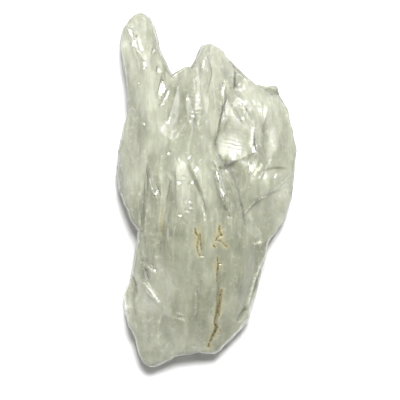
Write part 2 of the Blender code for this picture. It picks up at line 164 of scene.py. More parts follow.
# %% [markdown]
# ## Cracks and veins
#
# Water carried rust into a few open cracks. Other cracks healed again while the crystal grew,
# and look like thin white veins. Both are thin bent lines. They could be cut into the mesh with
# a knife tool, but a line is easier to move when it is a row of points and a half width, and the
# distance from that line serves for its depth and for its colour.

# %% Cracks with rust in them: the line that each follows and its half width
CRACKS = [
    ([(-1.9, -6.5), (-1.8, -7.2), (-1.3, -7.9), (-1.4, -8.7), (-1.6, -9.5), (-1.4, -10.6),
      (-1.1, -10.9)], 0.24),
    ([(-1.1, -7.4), (-1.1, -8.5), (-0.9, -9.9)], 0.15),
    ([(2.1, -6.0), (2.1, -7.0), (2.5, -7.5), (1.8, -7.9), (1.6, -8.4), (2.3, -8.5), (2.8, -8.9),
      (3.3, -9.4)], 0.29),
    ([(1.1, -9.2), (1.4, -9.5)], 0.22),
    ([(1.8, -11.1), (1.9, -12.3), (1.8, -13.6), (1.8, -15.1)], 0.18),
    ([(1.9, -12.3), (2.5, -12.3)], 0.16),
    ([(2.5, -16.8), (2.1, -18.7), (1.8, -20.7), (1.3, -22.1), (1.8, -23.1), (1.4, -23.7),
      (0.8, -24.9), (0.3, -26.3)], 0.36),
    ([(1.8, -22.9), (2.5, -23.7)], 0.18),
    ([(2.3, -19.2), (2.1, -20.9)], 0.15),
]
print(len(CRACKS), "rusty cracks")

# %% Veins: thin healed cracks that look white
VEINS = [
    ([(9.4, 4.5), (8.6, 3.4), (7.0, 1.1)], 0.35),
    ([(10.6, 4.9), (9.8, 3.4), (8.7, 1.9)], 0.2),
    ([(-9.5, 1.8), (-9.0, 0.1), (-8.2, -1.3)], 0.2),
    ([(-4.6, 5.2), (-4.1, 3.8)], 0.2),
    ([(-10.4, -15.6), (-9.2, -16.9), (-7.9, -18.7)], 0.25),
    ([(-10.0, -16.8), (-9.0, -18.0)], 0.2),
    ([(-1.8, -16.8), (-1.8, -19.5)], 0.15),
    ([(-5.2, -20.5), (-4.0, -20.7), (-2.8, -21.2)], 0.25),
    ([(-5.0, -21.3), (-3.4, -21.7)], 0.2),
    ([(-10.9, -12.1), (-9.9, -12.6), (-8.5, -13.8)], 0.25),
    ([(7.4, -9.0), (8.6, -8.9), (10.1, -8.4)], 0.3),
    ([(-0.8, -2.6), (-0.1, -5.7)], 0.2),
    ([(9.9, -11.1), (8.9, -12.8), (7.9, -15.1), (7.5, -16.8), (6.9, -19.0)], 0.35),
    ([(-14.1, -15.4), (-13.9, -17.6), (-13.5, -19.8)], 0.45),
    ([(1.3, 3.4), (1.9, 1.6), (2.4, -0.9), (3.1, -3.0)], 0.5),
    ([(3.2, 18.0), (2.8, 16.5), (2.6, 14.8), (2.1, 12.8)], 0.4),
    # This vein also paints light over the shade of a crease.
    ([(6.3, -4.0), (7.5, -2.6), (9.0, -1.4), (10.6, -0.8)], 0.25),
    ([(5.3, 15.2), (6.4, 13.2), (7.4, 11.4), (7.8, 9.6), (7.4, 7.6), (8.2, 6.2), (7.9, 3.6)], 0.45),
]
print(len(VEINS), "healed veins")


# %% Distance from a line
def beside(points, path):
    """Distance in plan from each point to a line, above 0 on its left side."""
    nearest = np.full(len(points), np.inf)
    side = np.ones(len(points))
    for start, end in zip(path[:-1], path[1:]):
        along = np.subtract(end, start)
        out = points[:, :2] - start
        share = np.clip(out @ along / (along @ along), 0.0, 1.0)
        away = np.linalg.norm(out - share[:, None] * along, axis=1)
        turn = along[0] * out[:, 1] - along[1] * out[:, 0]
        side = np.where(away < nearest, np.where(turn < 0.0, -1.0, 1.0), side)
        nearest = np.minimum(away, nearest)
    return nearest * side


def on_cracks(points, cracks, wider=1.0):
    """1 on a crack, falling to 0 at its half width, or at so many times that width."""
    most = np.zeros(len(points))
    for path, half_width in cracks:
        most = np.maximum(most, 1.0 - np.abs(beside(points, path)) / (half_width * wider))
    return most


# %% [markdown]
# ## Ledges
#
# A quartz column grows in layers, and where a layer broke off it left a low step. A bevel or an
# inset would need an edge of the mesh to follow each step. Here a ledge is the line of the step,
# how far it drops and how far the lowered side reaches, and the points beside the line go down.
# The side on the left of the line is lowered, or the right side if the drop is below 0.

# %% Ledges: the line, the drop and the reach
LEDGES = [
    ([(-1.3, 23.9), (-2.3, 22.2), (-2.6, 20.9)], 0.3, 1.0),
    ([(-0.6, 24.3), (0.4, 22.9), (-0.3, 21.7), (0.3, 19.2)], 0.15, 1.2),
    ([(3.3, 22.4), (4.0, 21.5), (4.6, 20.2), (5.3, 19.2), (7.0, 18.3)], 0.35, 1.5),
    ([(8.4, 17.8), (10.1, 16.5), (11.4, 15.5), (11.9, 15.8)], 0.5, 2.0),
    ([(2.5, 18.2), (2.5, 16.3), (2.8, 14.4), (3.1, 12.8)], -0.3, 1.2),
    ([(4.6, 16.1), (5.7, 14.6), (6.7, 12.9), (7.7, 11.2), (8.0, 10.4)], 0.35, 2.0),
    ([(7.5, 9.9), (7.7, 7.9), (7.4, 6.8), (8.5, 6.0)], 0.5, 1.6),
    ([(2.6, 10.4), (2.1, 9.9), (1.8, 8.7), (1.4, 7.4), (1.8, 6.2), (2.6, 5.0),
      (3.8, 4.0)], 0.5, 2.2),
    ([(2.9, 4.0), (4.4, 4.5), (6.6, 5.5)], -0.6, 1.4),
    ([(9.4, 15.1), (9.4, 10.1), (9.4, 5.0)], 0.12, 1.5),
    ([(1.3, 3.6), (1.8, 1.6), (2.1, -0.9), (2.8, -2.6), (3.6, -3.8)], -0.35, 1.5),
    ([(1.9, 4.0), (2.6, 2.5), (3.5, -0.1), (3.8, -2.3)], 0.35, 1.5),
    ([(2.6, 4.5), (3.8, 3.0), (4.8, 0.8), (5.5, -1.4), (5.7, -3.8)], 0.35, 1.6),
    ([(-10.1, 4.5), (-10.1, 1.6), (-10.2, -1.8)], 0.25, 1.4),
    ([(-8.7, 1.1), (-7.7, -1.4)], 0.3, 1.2),
    ([(-11.2, -1.1), (-11.1, -3.8), (-11.1, -6.5)], 0.3, 1.5),
    ([(-6.3, 1.9), (-6.5, -0.4), (-6.7, -2.8)], 0.3, 1.4),
    ([(-5.2, 3.0), (-5.2, -0.1), (-4.8, -4.1)], -0.3, 1.4),
    ([(-0.9, -1.3), (-0.1, -4.3)], 0.3, 1.2),
    ([(-7.5, -2.6), (-7.4, -8.5)], 0.25, 1.0),
    ([(-6.5, -6.0), (-6.3, -8.5)], 0.3, 1.0),
    ([(10.4, 5.0), (9.5, 3.3), (8.7, 1.9), (7.2, 0.6)], 0.12, 1.5),
    ([(14.3, 3.0), (12.9, 1.3), (11.1, -0.1)], -0.1, 1.4),
    ([(-10.4, -12.8), (-9.9, -15.3), (-8.7, -17.3), (-7.7, -18.7)], 0.3, 1.6),
    ([(-11.7, -16.3), (-12.3, -18.7), (-11.7, -21.7)], -0.3, 1.2),
    ([(8.7, -11.6), (8.5, -13.6), (7.7, -15.6), (7.4, -17.0), (6.7, -18.5)], -0.15, 1.4),
    ([(6.7, -19.2), (5.7, -20.4), (5.0, -22.1)], 0.4, 1.0),
    ([(-1.6, -16.6), (-1.4, -18.7), (-1.8, -21.7)], 0.2, 1.0),
    ([(-5.2, -21.4), (-3.8, -21.2), (-2.5, -21.9)], 0.1, 1.0),
    ([(-5.2, -24.9), (-3.1, -24.8)], 0.08, 0.8),
]
print(len(LEDGES), "ledges")

# %% [markdown]
# ## Chips
#
# Chips are small fresh faces where a flake came away. Quartz breaks along the same planes of its
# crystal, so the chips all lean the same way and flash together. Round chips would look like
# dots, so each has four uneven straight sides with a slightly ragged rim. The sides are drawn by
# chance, but from the chip's own place, so they are the same in each run.

# %% Chips: a middle (x, y), half width, half length and turn in degrees
CHIPS = [
    ((-12.5, 25.9), 0.3, 1.0, 14),
    ((-12.0, 24.2), 0.5, 0.9, 10),
    ((-11.1, 22.9), 0.3, 0.6, 40),
    ((-10.3, 20.8), 0.3, 1.0, 3),
    ((-11.1, 24.8), 0.25, 0.3, 0),
    ((-8.8, 23.1), 0.3, 0.5, -20),
    ((-7.9, 24.1), 0.25, 0.5, 0),
    ((-7.9, 19.8), 0.6, 0.5, -25),
    ((-11.2, 17.7), 0.2, 0.2, 0),
    ((-7.4, 16.6), 0.75, 1.2, -32),
    ((-6.5, 15.9), 0.3, 0.7, -10),
    ((-0.5, 20.9), 0.35, 0.8, -12),
    ((-7.2, 14.9), 0.7, 0.28, 22),
    ((-7.4, 14.1), 0.7, 0.26, 22),
    ((-9.6, 11.5), 0.4, 0.2, 5),
    ((-10.3, 10.9), 0.2, 0.3, 0),
    ((-6.3, 5.9), 0.2, 0.5, -20),
    ((-2.8, 5.4), 0.2, 0.5, -20),
    ((-2.3, 1.2), 0.3, 0.3, 0),
    ((-8.2, -0.4), 0.2, 0.7, -30),
    ((-10.1, -4.8), 0.2, 0.3, 0),
    ((-9.1, -12.7), 0.2, 0.3, 0),
    ((-8.6, -13.4), 0.2, 0.4, -20),
    ((-13.0, -16.6), 0.2, 0.3, 0),
    ((-13.0, -17.5), 0.2, 0.2, 0),
    ((-0.7, -11.1), 0.3, 0.3, 0),
    ((-0.8, -14.8), 0.2, 0.2, 0),
    ((3.6, -4.6), 0.2, 0.3, 0),
    ((7.9, -9.1), 0.3, 0.2, 0),
    ((13.4, -0.4), 0.4, 0.2, 30),
    ((12.8, 0.6), 0.3, 0.2, 0),
    ((13.8, 1.1), 0.2, 0.2, 0),
    ((8.6, 14.7), 0.2, 0.2, 0),
    ((7.9, 6.7), 0.3, 0.8, -15),
    ((7.5, 10.9), 0.2, 0.2, 0),
    ((2.8, 16.5), 0.2, 0.9, -5),
    ((-3.8, 1.9), 0.35, 0.4, 20),
    ((-4.5, 1.1), 0.35, 0.4, 20),
    ((-2.8, 0.6), 0.35, 0.4, 20),
    ((-3.6, -1.8), 0.35, 0.4, 20),
    ((-2.8, -2.1), 0.35, 0.4, 20),
    ((-3.3, -3.6), 0.35, 0.4, 20),
    ((-4.3, -4.3), 0.35, 0.4, 20),
    ((-2.6, -3.0), 0.35, 0.4, 20),
    ((7.5, 3.6), 0.4, 0.9, -10),
    ((1.75, 2.3), 0.22, 1.3, 12),
    ((2.6, -0.4), 0.2, 1.1, 20),
    ((12.6, 1.9), 0.2, 0.3, -30),
    ((11.6, 2.3), 0.2, 0.4, -20),
    ((7.1, 0.4), 0.2, 0.3, 0),
]
print(len(CHIPS), "chips")

# %% How far out in a chip a point lies
CHIP_SIDES = 4
CHIP_UNEVEN = 0.3
CHIP_REACH = (0.7, 1.15)
CHIP_RAGGED = 0.3
RAGGED_ONE_WAY = (9.1, 3.7)
RAGGED_OTHER_WAY = (-4.9, 6.3)


def turned_place(points, chip):
    """Points in a chip's own turned frame: 1 is half its width, and half its length."""
    middle, half_width, half_length, turn = chip
    across, up = (points[:, :2] - middle).T
    cos, sin = math.cos(math.radians(turn)), math.sin(math.radians(turn))
    return (across * cos + up * sin) / half_width, (up * cos - across * sin) / half_length


def chip_place(points, chip):
    """How far out points lie in a chip: 1 is its rim."""
    across, up = turned_place(points, chip)
    chance = random.Random(round(100 * chip[0][0] + 10 * chip[0][1]))
    waves = np.sin(points[:, :2] @ RAGGED_ONE_WAY) * np.sin(points[:, :2] @ RAGGED_OTHER_WAY)
    most = np.zeros(len(points))
    for side in range(CHIP_SIDES):
        angle = 2 * math.pi * (side + chance.uniform(-CHIP_UNEVEN, CHIP_UNEVEN)) / CHIP_SIDES
        out = (across * math.cos(angle) + up * math.sin(angle)) / chance.uniform(*CHIP_REACH)
        most = np.maximum(most, out + CHIP_RAGGED * waves)
    return most


# %% [markdown]
# ## The stone's mesh
#
# The measured stone has the right faces, but its triangles are too large to hold the fine
# relief. A subdivision surface would round its sharp edges away, and a voxel remesh would
# ripple along them. Cutting only the long edges in half, again and again, leaves every flat
# face flat and gives small triangles everywhere. The cut is finest by cracks, ledges and chips,
# and coarse on the underside.

# %% How long each edge may be, in millimetres
TOP_EDGE = 0.42
FINE_EDGE = 0.17
UNDER_EDGE = 1.0
FINE_REACH = 0.35
CHIP_ROOM = 1.5  # times as wide as the chip


def wanted_edges(middles, upper):
    """The longest that each edge may be, from its middle and whether it faces up."""
    fine = np.zeros(len(middles), dtype=bool)
    for path, _ in CRACKS:
        fine |= np.abs(beside(middles, path)) < 2 * FINE_REACH
    for path, half_width in VEINS:
        fine |= np.abs(beside(middles, path)) < half_width
    for path, _, _ in LEDGES:
        fine |= np.abs(beside(middles, path)) < FINE_REACH
    for chip in CHIPS:
        fine |= chip_place(middles, chip) < CHIP_ROOM
    return np.where(upper, np.where(fine, FINE_EDGE, TOP_EDGE), UNDER_EDGE)


# %% Cut the long edges until the mesh is fine
CUTS = 8
stone_bm = bmesh.new()
stone_bm.from_mesh(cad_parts["prasiolite"].data)
bmesh.ops.remove_doubles(stone_bm, verts=stone_bm.verts, dist=0.001 * MM)
for _ in range(CUTS):
    stone_bm.normal_update()
    edges = list(stone_bm.edges)
    ends = np.array([(*edge.verts[0].co, *edge.verts[1].co) for edge in edges]) / MM
    upper = np.array([edge.verts[0].normal.z + edge.verts[1].normal.z > 0.0 for edge in edges])
    lengths = np.linalg.norm(ends[:, 3:] - ends[:, :3], axis=1)
    too_long = lengths > wanted_edges((ends[:, 3:] + ends[:, :3]) / 2, upper)
    if too_long.any():
        long_edges = [edge for edge, cut in zip(edges, too_long) if cut]
        bmesh.ops.subdivide_edges(
            stone_bm, edges=long_edges, cuts=1, use_grid_fill=True, use_single_edge=True
        )
        bmesh.ops.triangulate(stone_bm, faces=stone_bm.faces)
print(f"the fine mesh has {len(stone_bm.faces)} triangles")

# %% [markdown]
# An edge of real quartz is never a perfect line: it is a little worn. A bevel would need to know
# every edge, but one light smoothing pass on the fine mesh rounds them all over by about a tenth
# of a millimetre.

# %% Wear the edges
WEAR = 0.2
bmesh.ops.smooth_vert(
    stone_bm, verts=stone_bm.verts, factor=WEAR,
    use_axis_x=True, use_axis_y=True, use_axis_z=True,
)
stone_bm.normal_update()
print(f"the edges are worn by a share of {WEAR}")

# %% [markdown]
# ## Fine relief
#
# Four kinds of relief are deep enough to see as shapes. Fine striae run along a column, because
# it grew in thin layers. Flaked patches are covered in small bright facets. Cracks are narrow
# grooves, and ledges are steps. Sculpting them by hand would take days, so each is a small
# formula over the place on the stone, in millimetres, that moves the points along their normals.

# %% Striae and facets
STRIAE_HEIGHT = 0.03
STRIAE_PER_MM = Vector((1.9, 0.13, 1.9))
FACET_HEIGHT = 0.14
FACETS_PER_MM = Vector((1.1, 0.55, 1.1))
FACET_LEVEL = 0.4


def striae(place):
    """Long narrow grooves along the columns, from -1 to 1."""
    return noise.noise(STRIAE_PER_MM * Vector(place))


def facets(place):
    """Small cells, each sloping up to its rim, from 0 to 1."""
    return min(noise.voronoi(FACETS_PER_MM * Vector(place))[0][0], 1.0)


def points_of(bm):
    """The places of all points, in millimetres, and their normals."""
    places = np.array([vert.co for vert in bm.verts]) / MM
    return places, np.array([vert.normal for vert in bm.verts])


points, normals = points_of(stone_bm)
rise = STRIAE_HEIGHT * np.array([striae(place) for place in points])
cells = np.array([facets(place) for place in points])
rise += FACET_HEIGHT * in_patches(points, FLAKED) * (cells - FACET_LEVEL)
print(f"striae and facets rise from {rise.min():.2f} to {rise.max():.2f} mm")

# %% Cracks and ledges
CRACK_DEPTH = 0.15
LEDGE_FADE = 0.8
rise -= CRACK_DEPTH * on_cracks(points, CRACKS)
for path, drop, reach in LEDGES:
    away = beside(points, path) * math.copysign(1.0, drop)
    ends = [np.linalg.norm(points[:, :2] - end, axis=1) for end in (path[0], path[-1])]
    fade = np.clip(np.minimum(*ends) / LEDGE_FADE, 0.0, 1.0)
    low_side = np.clip(1.0 - away / reach, 0.0, 1.0) * (away > 0.0)
    rise -= abs(drop) * low_side * fade
print(f"with cracks and ledges it goes down to {rise.min():.2f} mm")

# %% Raise the relief where the stone faces up
RELIEF_FROM = 0.05
RELIEF_OVER = 0.2
facing = np.clip((normals[:, 2] - RELIEF_FROM) / RELIEF_OVER, 0.0, 1.0)
points += normals * (rise * facing)[:, None]
print(f"{(facing > 0.0).sum()} of {len(points)} points moved")

# %% [markdown]
# A chip is a flat plane that cuts into the stone. A boolean cut for each would be slow and would
# leave slivers. The points inside the chip are moved onto the plane instead, up or down, and no
# further than the chip's depth.

# %% Press the chips flat
CHIP_LEAN = math.radians(23)
CHIP_DEPTH = 0.45
CHIP_RIM = 0.2
FACES_UP = 0.3
lean = math.tan(CHIP_LEAN)
pressed = 0
for chip in CHIPS:
    middle, _, half_length, _ = chip
    inside = np.clip((1.0 - chip_place(points, chip)) / CHIP_RIM, 0.0, 1.0)
    inside *= normals[:, 2] > FACES_UP
    if inside.any():
        level = np.average(points[:, 2], weights=inside)
        plane = level - lean * (points[:, 1] - middle[1])
        depth = CHIP_DEPTH * half_length
        points[:, 2] += inside * np.clip(plane - points[:, 2], -depth, depth)
        pressed += 1
print(f"{pressed} chips are pressed flat")

# %% [markdown]
# The bowl is the one large smooth break: quartz breaks like glass, in shells. Its face is
# steepest at the lower end and level at the top, which is a parabola along the stone and a
# flatter one across it.

# %% Press the bowl
BOWL = ((3.9, 6.9), 3.0, 3.6)
BOWL_TURN = 25
BOWL_RIM = 0.4
BOWL_RISE = 0.046
BOWL_SIDE = 0.02
BOWL_DEPTH = 1.0
across = points[:, 0] - BOWL[0][0]
down = np.maximum(BOWL[0][1] + BOWL[2] - points[:, 1], 0.0)
bowl = BOWL_RISE * down ** 2 + BOWL_SIDE * across ** 2
away = np.hypot(*turned_place(points, (*BOWL, BOWL_TURN)))
inside = np.clip((1.0 - away) / BOWL_RIM, 0.0, 1.0)
inside *= normals[:, 2] > FACES_UP
bowl += np.average(points[:, 2] - bowl, weights=inside)
points[:, 2] += inside * np.clip(bowl - points[:, 2], -BOWL_DEPTH, BOWL_DEPTH)
for vert, place in zip(stone_bm.verts, points):
    vert.co = Vector(place) * MM
stone_bm.normal_update()
print(f"the bowl covers {(inside > 0.0).sum()} points")

# %% [markdown]
# ## Marks for the material
#
# The material has to know where the stone is flaked, rippled, pale or rusty, where it is steep
# and where an edge stands proud. Each is a number on the points of the mesh, which the material
# reads by name. Broken glass shows its edges as thin dark and light lines, and here they are
# painted into the colour: painted shade on the steep parts and a painted highlight on proud
# edges, so both are measured from the mesh itself.

# %% Blend a value with its neighbours
SPREAD_PASSES = 3
stone_bm.verts.index_update()
points, normals = points_of(stone_bm)
first, second = np.array([[vert.index for vert in edge.verts] for edge in stone_bm.edges]).T
count = len(points)
neighbours = np.bincount(first, minlength=count) + np.bincount(second, minlength=count)


def spread(values):
    """Each point's value blended with those of its neighbours, a few times."""
    for _ in range(SPREAD_PASSES):
        around = np.bincount(first, values[second], count)
        around += np.bincount(second, values[first], count)
        values = 0.5 * values + 0.5 * around / neighbours
    return values


print(f"a point has {neighbours.mean():.1f} neighbours on average")

# %% Measure how proud each point stands
step = points[second] - points[first]
step /= np.linalg.norm(step, axis=1)[:, None]
bend = np.bincount(second, (step * normals[second]).sum(1), count)
bend -= np.bincount(first, (step * normals[first]).sum(1), count)
bend = spread(bend / neighbours)
print(f"proud edges reach {bend.max():.2f} and crevices {bend.min():.2f}")

# %% Write the marks on the points
STAIN_WIDTH = 3.0
LEVEL_TOP = 0.5
RIM_GAIN = 2.5
upper = normals[:, 2] > 0.0
steepness = 1.0 - np.abs(normals[:, 2])
marks = {
    "flaked": in_patches(points, FLAKED) * upper,
    "rippled": in_patches(points, RIPPLED) * upper,
    "pale_and_lit": in_patches(points, PALE_AND_LIT),
    "thin_lit": in_patches(points, THIN_LIT),
    "thick_shaded": in_patches(points, THICK_SHADED),
    "less_shaded": in_patches(points, LESS_SHADED),
    "vein": on_cracks(points, VEINS) * upper,
    "rust": on_cracks(points, CRACKS) * upper,
    "stain": np.maximum(in_patches(points, STAINED), on_cracks(points, CRACKS, STAIN_WIDTH)) * upper,
    "steep": steepness,
    "rim": steepness * np.minimum(RIM_GAIN * spread(normals[:, 2] > LEVEL_TOP), 1.0),
    "proud": bend,
}
for name, values in marks.items():
    layer = stone_bm.verts.layers.float.new(name)
    for vert, value in zip(stone_bm.verts, values):
        vert[layer] = value
print("marks:", *marks)

# %% [markdown]
# The bmesh becomes an object that stands in for the measured stone. It is shaded smooth, with
# edges kept sharp where two triangles meet at more than a few degrees, so that broken faces stay
# crisp and the bowl stays soft.

# %% Make the stone's object
SHARP_ANGLE = math.radians(10)
stone_mesh = bpy.data.meshes.new("stone")
stone_bm.to_mesh(stone_mesh)
stone_bm.free()
stone_mesh.shade_smooth()
stone_mesh.set_sharp_from_angle(angle=SHARP_ANGLE)
stone = bpy.data.objects.new("stone", stone_mesh)
bpy.context.scene.collection.objects.link(stone)
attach(stone, "root")
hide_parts("prasiolite")
print("the stone has", len(stone_mesh.polygons), "triangles")

# %% [markdown]
# ## Writing materials as sums
#
# A material is a graph of nodes. Written link by link it hides its own idea, so a small class
# stands for a socket and lets `a * b + c` add the Math nodes.


# %% A socket that can be added and multiplied
class Value:
    """A number that changes over the surface."""

    def __init__(self, graph, socket):
        self.graph = graph
        self.socket = socket

    def _math(self, operation, first, second=None):
        return Value(self.graph, self.graph.node(
            "ShaderNodeMath", {"operation": operation}, {0: first, 1: second}
        ).outputs[0])

    def __add__(self, other):
        return self._math("ADD", self, other)

    def __sub__(self, other):
        return self._math("SUBTRACT", self, other)

    def __rsub__(self, other):
        return self._math("SUBTRACT", other, self)

    def __mul__(self, other):
        return self._math("MULTIPLY", self, other)

    def clamped(self):
        return self._math("MAXIMUM", self._math("MINIMUM", self, 1.0), 0.0)

    def between(self, none, full):
        """0 where the value is at none, 1 where it is at full, and even between them."""
        return ((self - none) * (1.0 / (full - none))).clamped()

    def sine(self):
        return self._math("SINE", self)

    __radd__ = __add__
    __rmul__ = __mul__


# %% A node graph with a few shorthands
class Graph:
    """The node graph of one material."""

    def __init__(self, name):
        self.material = bpy.data.materials.new(name)
        self.material.use_nodes = True
        self.tree = self.material.node_tree
        self.tree.nodes.clear()

    def node(self, kind, settings, sockets):
        """Adds a node: its settings first, then a value or a link for each named socket."""
        made = self.tree.nodes.new(kind)
        for name, value in settings.items():
            setattr(made, name, value)
        for name, value in sockets.items():
            if value is None:
                continue
            if isinstance(value, Value):
                value = value.socket
            if isinstance(value, bpy.types.NodeSocket):
                self.tree.links.new(value, made.inputs[name])
            else:
                made.inputs[name].default_value = value
        return made

    def stretched(self, place, scale):
        """A place whose patterns come out longer where the scale is below 1."""
        sockets = {"Vector": place, "Scale": scale}
        return self.node("ShaderNodeMapping", {"vector_type": "POINT"}, sockets).outputs["Vector"]

    def noise(self, place, scale, detail=3.0, roughness=0.5):
        """Soft spots, about 0.5 on average."""
        sockets = {"Vector": place, "Scale": scale, "Detail": detail, "Roughness": roughness}
        return Value(self, self.node("ShaderNodeTexNoise", {}, sockets).outputs["Fac"])

    def tilted_cells(self, place, scale):
        """Height of small flat faces, each tilted its own way by up to half its width."""
        cells = self.node("ShaderNodeTexVoronoi", {}, {"Vector": place, "Scale": scale}).outputs
        inside = self.vector("SUBTRACT", place, cells["Position"])
        tilt = self.vector("SUBTRACT", cells["Color"], (0.5, 0.5, 0.5))
        made = self.node("ShaderNodeVectorMath", {"operation": "DOT_PRODUCT"}, {0: inside, 1: tilt})
        return Value(self, made.outputs["Value"])

    def vector(self, operation, first, second):
        made = self.node("ShaderNodeVectorMath", {"operation": operation}, {0: first, 1: second})
        return made.outputs["Vector"]

    def mark(self, name):
        """A number that was written on the points of the mesh."""
        made = self.node("ShaderNodeAttribute", {"attribute_name": name}, {})
        return Value(self, made.outputs["Fac"])

    def mix(self, factor, first, second):
        """From the first colour to the second one as the factor goes from 0 to 1."""
        sockets = {0: factor, 6: first, 7: second}
        return self.node("ShaderNodeMix", {"data_type": "RGBA"}, sockets).outputs[2]


# %% [markdown]
# ## Green quartz
#
# The stone is not one clear glass. Much of it is milky: light goes a few millimetres in,
# scatters and comes back out, which is subsurface scattering. Veins between are clear, and
# light passes them and is tinted on the way, which is transmission with an absorption colour.
# So the material is two surfaces, and a cloudy pattern in space says how much of each.
#
# All patterns are noise in the stone's own space, stretched along its columns, so they run
# through the stone like growth and look right on every side. Scales are cells per metre.

# %% Patterns in the quartz
quartz = Graph("quartz")
place = quartz.node("ShaderNodeTexCoord", {}, {}).outputs["Object"]
columns = quartz.stretched(place, (1.0, 0.4, 1.0))
fibrous = quartz.stretched(place, (1.0, 0.12, 1.0))
clouds = quartz.noise(columns, 190.0, detail=4.0, roughness=0.6)
veils = quartz.noise(columns, 620.0, detail=3.0, roughness=0.6)
grain = quartz.noise(columns, 900.0, detail=2.0)
speckle = quartz.noise(place, 2600.0, detail=2.0)
fibres = quartz.noise(fibrous, 1300.0, detail=2.0)
flecks = (quartz.noise(place, 1300.0, detail=3.0) + clouds * 0.4).between(0.78, 0.98)
pits = quartz.noise(place, 1900.0, detail=1.0).between(0.375, 0.125)
print("patterns need", len(quartz.tree.nodes), "nodes")

# %% [markdown]
# The marks on the points come in next. An oval patch or an even line would look painted on, so
# noise eats into each of them: a patch ends raggedly, rust sits in grains, and a vein comes and
# goes along its line.

# %% Marks, broken up by the patterns
flaked = quartz.mark("flaked")
rippled = quartz.mark("rippled")
# Pale stone full of fine cracks, partly a painted highlight on faces that catch the light.
pale_and_lit = (quartz.mark("pale_and_lit") * 1.5 - veils * 0.9).clamped()
thin_lit = quartz.mark("thin_lit")
thick_shaded = quartz.mark("thick_shaded")
less_shaded = quartz.mark("less_shaded")
steep = quartz.mark("steep")
edge = quartz.mark("proud")
rust = (quartz.mark("rust") * (speckle * 10.0 - 4.0) * grain.between(0.2667, 0.4333)).clamped()
stain = (quartz.mark("stain") * (speckle * 2.0 - 0.4)).clamped()
vein = (quartz.mark("vein") * (speckle * 8.0 - 2.9) * veils.between(0.38, 0.58)).clamped() * 0.7
print("with the marks", len(quartz.tree.nodes), "nodes")

# %% [markdown]
# Edges come next, as painted shade and painted highlight in the colour. The walls and the rim of
# glassy stone look dark, so they get painted shade, crevices get a little painted shade against
# the faces beside them, and proud edges get a painted highlight. The less shaded patches and the
# veins get less of that painted shade.

# %% Painted shade and painted highlight on edges
# How much of the painted edge shade stays: less on the less shaded patches and on veins.
edge_shade_share = (1.0 - less_shaded * 0.6 - vein).clamped()
rim = quartz.mark("rim").between(0.25, 0.65)
# Painted shade: the steep walls and the rim are darkened in the colour.
painted_edge_shade = (steep.between(0.3, 0.925) * 0.85 + rim * 0.25).clamped() * edge_shade_share
# Painted shade: crevices a little darker.
crevice_shade = edge.between(-0.0167, -0.1278) * 0.2 * edge_shade_share
# Painted highlight: proud edges paler.
painted_edge_highlight = edge.between(0.05, 0.2167) * (0.4 - steep * 0.35)
print("with the edges", len(quartz.tree.nodes), "nodes")

# %% [markdown]
# The milky part gets its colour in layers, as paint would go on: the cloudy green first, then
# fibres, flecks and pits, then the pale parts with the painted light of thin parts and the painted
# highlight of proud edges, then the painted shade of thick parts, then the painted shade of edges
# and crevices, and rust last. The clear part keeps water's plain white, because its green comes
# from absorption on the way through, and only the painted shade of edges and thick parts, and
# rust, tint it.

# %% Colours
MILK = (0.63, 0.65, 0.525, 1.0)
# Pale milky stone, and the colour of painted light and painted highlights.
PALE_MILK_AND_LIGHT = (0.785, 0.795, 0.69, 1.0)
# A deeper green for the clouds, and for the painted shade of thick parts.
DEEP = (0.42, 0.432, 0.325, 1.0)
# Dark grains, and the painted shade of walls, rim and crevices.
SHADE_AND_DARK_GRAIN = (0.15, 0.155, 0.105, 1.0)
RUST = (0.13, 0.10, 0.03, 1.0)
TAN = (0.42, 0.36, 0.18, 1.0)
AMBER = (0.76, 0.70, 0.45, 1.0)
WATER = (1.0, 1.0, 1.0, 1.0)

body = MILK
for amount, colour in (
    (clouds.between(0.2143, 0.9286), DEEP),
    (fibres.between(0.5, 0.9167), PALE_MILK_AND_LIGHT),
    (flecks * 0.3, PALE_MILK_AND_LIGHT),
    (pits * 0.3, SHADE_AND_DARK_GRAIN),
    # Pale stone and veins, painted light on thin parts, and a painted highlight on proud edges and
    # bright faces.
    ((pale_and_lit * 0.7 + thin_lit * 0.4 + painted_edge_highlight + vein * 0.8).clamped(), PALE_MILK_AND_LIGHT),
    # Painted shade on thick parts.
    (thick_shaded * 0.45, DEEP),
    # Painted shade on the walls, the rim and in crevices.
    ((painted_edge_shade + crevice_shade).clamped(), SHADE_AND_DARK_GRAIN),
    (stain * 0.9, TAN),
    (rust * 0.9, RUST),
):
    body = quartz.mix(amount, body, colour)

through = WATER
for amount, colour in (
    # Painted shade on the walls, the rim and in crevices, and dark grains.
    ((painted_edge_shade + crevice_shade + pits * 0.15).clamped(), SHADE_AND_DARK_GRAIN),
    # Painted shade on thick parts.
    (thick_shaded * 0.4, DEEP),
    (stain * 0.5, AMBER),
    (rust * 0.9, RUST),
):
    through = quartz.mix(amount, through, colour)
print("with the colours", len(quartz.tree.nodes), "nodes")

# %% [markdown]
# Relief that is finer than the mesh is a bump: a fine grain, small faces that each tilt their
# own way and sparkle, and the ripples where a column stepped as it grew. The ripples are a sine
# along the stone, bent a little by the clouds so that no two are quite parallel.

# %% Bump
RIPPLE_LENGTH = 0.65 * MM
RIPPLE_SLANT = 0.25
RIPPLE_BEND = 2.5 * MM
RIPPLE_HEIGHT = 0.015 * MM
GRAIN_HEIGHT = 0.03 * MM
SPECKLE_HEIGHT = 0.012 * MM
TILTED_PER_M = 750.0
TILT = 0.12
FLAKED_TILT = 0.7

